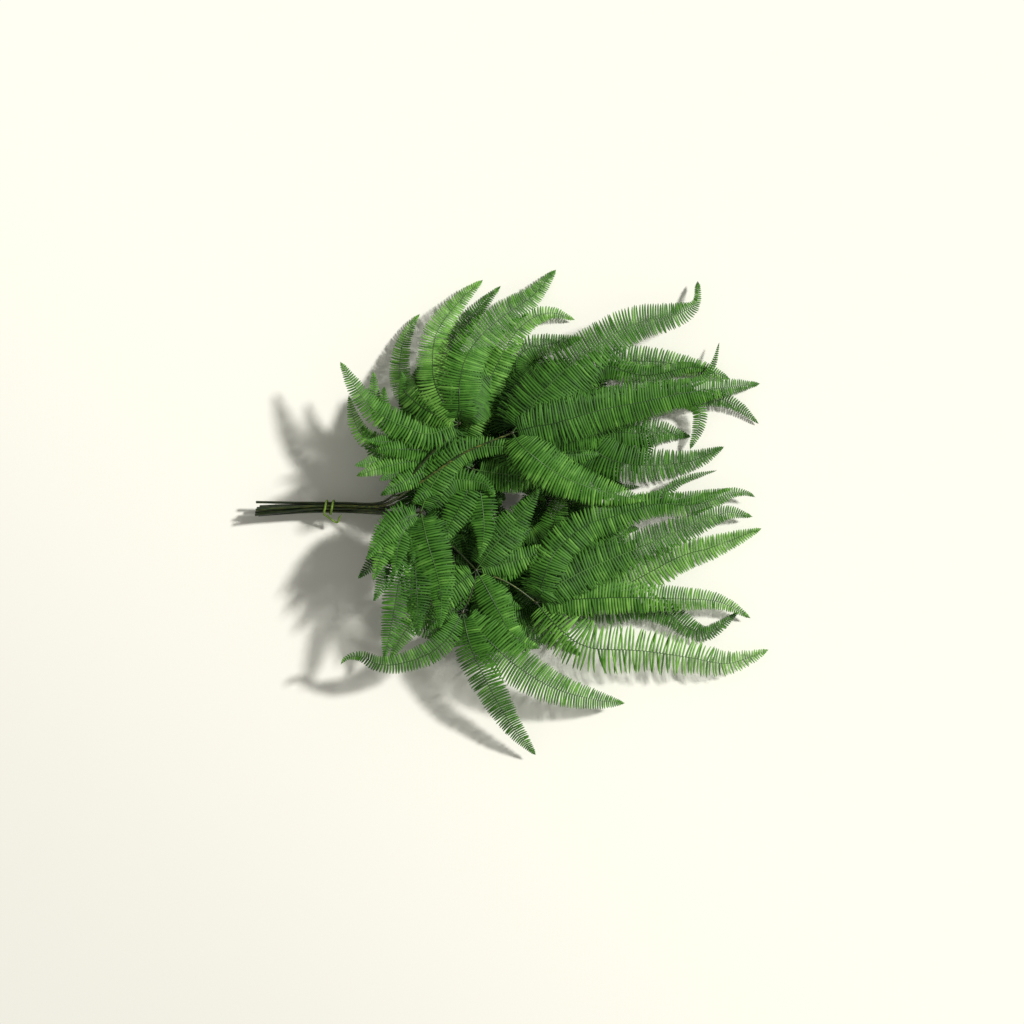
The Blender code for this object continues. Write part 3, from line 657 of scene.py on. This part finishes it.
def bear_grass():
    """Bear grass: a tough, smooth green blade, rolled. It reads lime green with fine darker lines, which are
    painted shade in the grooves between its ribs, and the soft gloss of a cut stem."""
    finish, tree, shader = new_finish("bear_grass_strand", IOR=1.45, Specular_IOR_Level=0.45)
    place = add_node(tree, "ShaderNodeTexCoord").outputs["Object"]
    noise = add_node(tree, "ShaderNodeTexNoise",
                     {"Vector": place, "Scale": 0.5 / GRASS_STRIPE, "Detail": 2.0})
    painted_groove_shade = add_node(tree, "ShaderNodeAttribute", attribute_name="painted_groove_shade").outputs["Fac"]
    level = add_node(tree, "ShaderNodeMath", {0: noise.outputs["Fac"], 1: painted_groove_shade}, operation="MULTIPLY",
                     use_clamp=True)
    skin = add_node(tree, "ShaderNodeMix", {"Factor": level.outputs[0], 6: hex_colour(GRASS_LIME),
                                            7: hex_colour(GRASS_GREEN)}, data_type="RGBA")
    tree.links.new(skin.outputs[2], shader.inputs["Base Color"])
    gloss = add_node(tree, "ShaderNodeMapRange",
                     {"Value": noise.outputs["Fac"], "To Min": 0.35, "To Max": 0.55})
    tree.links.new(gloss.outputs[0], shader.inputs["Roughness"])
    bump = add_node(tree, "ShaderNodeBump", {"Height": noise.outputs["Fac"], "Strength": 0.3,
                                             "Distance": 0.08 * MM})
    tree.links.new(bump.outputs[0], shader.inputs["Normal"])
    return finish


centres, radii = tube_centreline("tie")
along = lengths_along(centres)
places = np.linspace(0, along[-1], int(along[-1] / STRAND_STEP))
points = flowing(along, centres, places)
angle = np.linspace(0, 2 * math.pi, STRAND_SIDES, endpoint=False)
ribbing = np.cos(STRAND_RIBS * angle)
pinch = np.clip(np.minimum(places, places[-1] - places) / TUCK_LENGTH, TUCK_SHARE, 1.0)
rings = round_sections(points, np.interp(places, along, radii) * pinch, STRAND_SIDES,
                       1 - STRAND_RIB_DEPTH * (1 - ribbing)[None, :] * np.ones((len(places), 1)))
strand = add_piece("tie_strand", rings.reshape(-1, 3), tube_faces(len(places), STRAND_SIDES),
                   [bear_grass()], "tie")
# Painted shade: the grooves between the strand's ribs are painted darker, and the ribs paler.
painted_groove_shading = np.interp(ribbing, [-1, 1], [PAINTED_SHADE_BETWEEN_RIBS, PAINTED_SHADE_ON_RIBS])
set_shares(strand, "painted_groove_shade", np.tile(painted_groove_shading, len(places)))

# The surface that the bunch lies on: a plain, pale, matt-painted board, warm white. It is painted a little
# greyer towards one corner: painted shade for the light falling off there.
FLOOR_SIDE = 12.0
FLOOR_WHITE = "#f5f4ea"
FLOOR_PAINTED_SHADE = "#e2e1d9"
BRUSH_SIZE = 40 * MM
PAINTED_FALLOFF_SPAN = 1.3
BRUSH_STRENGTH = 0.03

floor_mesh = bpy.data.meshes.new("floor")
reach = FLOOR_SIDE / 2
floor_mesh.from_pydata([(-reach, -reach, 0), (reach, -reach, 0), (reach, reach, 0), (-reach, reach, 0)], [],
                       [(0, 1, 2, 3)])
floor = bpy.data.objects.new("floor", floor_mesh)
bpy.context.scene.collection.objects.link(floor)
paint, tree, shader = new_finish("matt_emulsion_paint", IOR=1.45, Roughness=0.95, Specular_IOR_Level=0.1)
place = add_node(tree, "ShaderNodeTexCoord").outputs["Object"]
# Painted shade: the board's colour turns greyer towards the corner at -x, -y, as if the light fell off there.
corner = add_node(tree, "ShaderNodeVectorMath", {0: place, 1: (-1.0, -1.0, 0.0)}, operation="DOT_PRODUCT")
painted_falloff = add_node(tree, "ShaderNodeMapRange", {"Value": corner.outputs["Value"], "From Min": 0.0,
                                             "From Max": PAINTED_FALLOFF_SPAN}, interpolation_type="SMOOTHSTEP")
cloud = add_node(tree, "ShaderNodeTexNoise", {"Vector": place, "Scale": 1 / BRUSH_SIZE, "Detail": 2.0})
brush_marks_and_painted_falloff = add_node(tree, "ShaderNodeMath", {0: cloud.outputs["Fac"], 1: BRUSH_STRENGTH, 2: painted_falloff.outputs[0]},
                   operation="MULTIPLY_ADD")
coat = add_node(tree, "ShaderNodeMix", {"Factor": brush_marks_and_painted_falloff.outputs[0], 6: hex_colour(FLOOR_WHITE),
                                        7: hex_colour(FLOOR_PAINTED_SHADE)}, data_type="RGBA")
tree.links.new(coat.outputs[2], shader.inputs["Base Color"])
floor_mesh.materials.append(paint)

# Light. One large soft lamp stands past the leaf tips and a little to the left of them, and throws
# the shadows back towards the stalks. The pale room all round fills them.
LAMP_FROM = (0.92, 0.39)
LAMP_ELEVATION = math.radians(40)
LAMP_STRENGTH = 4.1
LAMP_SIZE = math.radians(6.0)
LAMP_COLOUR = (1.0, 0.99, 0.96)
ROOM_STRENGTH = 0.31
ROOM_COLOUR = (1.0, 0.985, 0.93, 1.0)

lamp = bpy.data.lights.new("soft_lamp", "SUN")
lamp.energy = LAMP_STRENGTH
lamp.angle = LAMP_SIZE
lamp.color = LAMP_COLOUR
lamp_holder = bpy.data.objects.new("soft_lamp", lamp)
lamp_holder.rotation_euler = (0, math.pi / 2 - LAMP_ELEVATION, math.atan2(LAMP_FROM[1], LAMP_FROM[0]))
bpy.context.scene.collection.objects.link(lamp_holder)
room = bpy.data.worlds.new("pale_room")
room.use_nodes = True
walls = room.node_tree.nodes["Background"]
walls.inputs["Color"].default_value = ROOM_COLOUR
walls.inputs["Strength"].default_value = ROOM_STRENGTH
bpy.context.scene.world = room
bpy.context.scene.view_settings.view_transform = "Standard"

# Camera. It hangs straight above the middle of the bunch, with a long lens, so that tall leaves are
# drawn little larger than low ones.
LENS = 135
SENSOR = 36
VIEW_WIDTH = 1.2032

camera = bpy.data.cameras.new("overhead")
camera.lens = LENS
camera.sensor_width = SENSOR
camera.clip_end = 50
camera_holder = bpy.data.objects.new("overhead", camera)
camera_holder.location = (0, 0, VIEW_WIDTH * LENS / SENSOR)
bpy.context.scene.collection.objects.link(camera_holder)
bpy.context.scene.camera = camera_holder
